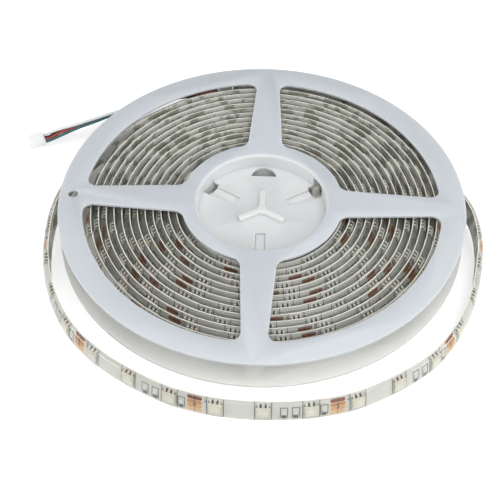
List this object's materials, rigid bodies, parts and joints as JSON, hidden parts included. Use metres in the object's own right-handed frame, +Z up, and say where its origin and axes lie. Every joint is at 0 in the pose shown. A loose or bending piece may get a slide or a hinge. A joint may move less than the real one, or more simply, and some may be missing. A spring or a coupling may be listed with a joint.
{
  "type": "led strip light reel",
  "caption": "Coated LED strip wound on a white plastic reel with spoked windows, its outer turn laid loose round the front, with a short wire lead and plug.",
  "frame": {"origin": "on the reel's axis, at its underside, where it rests on a surface", "axes": "+Z up along the reel's axis, -Y towards the loose turn at the front, -X towards the side where the lead comes out"},
  "size_m": [0.1852, 0.1755, 0.014],
  "materials": {
    "reel_plastic": "smooth moulded",
    "circuit_board": "white solder mask",
    "clear_coat": "clear soft resin",
    "led_package": "moulded frame and clear resin",
    "resistor_body": "matt",
    "joint_resin": "potting resin",
    "plug_nylon": "natural nylon",
    "contact_metal": "tin plated",
    "wire_white": "extruded",
    "wire_black": "extruded",
    "wire_red": "extruded",
    "wire_green": "extruded"
  },
  "bodies": {
    "root": {"lead_joint": "joint_resin", "led_01": "led_package", "led_02": "led_package", "led_03": "led_package", "led_04": "led_package", "led_05": "led_package", "led_06": "led_package", "led_07": "led_package", "led_08": "led_package", "led_09": "led_package", "led_10": "led_package", "led_11": "led_package", "led_12": "led_package", "led_13": "led_package", "led_14": "led_package", "led_15": "led_package", "led_16": "led_package", "led_17": "led_package", "led_18": "led_package", "plug_contact_1": "contact_metal", "plug_contact_2": "contact_metal", "plug_contact_3": "contact_metal", "plug_contact_4": "contact_metal", "plug_housing": "plug_nylon", "reel_lower_half": "reel_plastic", "reel_upper_half": "reel_plastic", "resistor_01": "resistor_body", "resistor_02": "resistor_body", "resistor_03": "resistor_body", "resistor_04": "resistor_body", "resistor_05": "resistor_body", "resistor_06": "resistor_body", "resistor_07": "resistor_body", "resistor_08": "resistor_body", "resistor_09": "resistor_body", "resistor_10": "resistor_body", "resistor_11": "resistor_body", "resistor_12": "resistor_body", "resistor_13": "resistor_body", "resistor_14": "resistor_body", "resistor_15": "resistor_body", "resistor_16": "resistor_body", "resistor_17": "resistor_body", "resistor_18": "resistor_body", "strip_board": "circuit_board", "strip_coat": "clear_coat", "wire_black": "wire_black", "wire_green": "wire_green", "wire_red": "wire_red", "wire_white": "wire_white"}
  },
  "joints": []
}
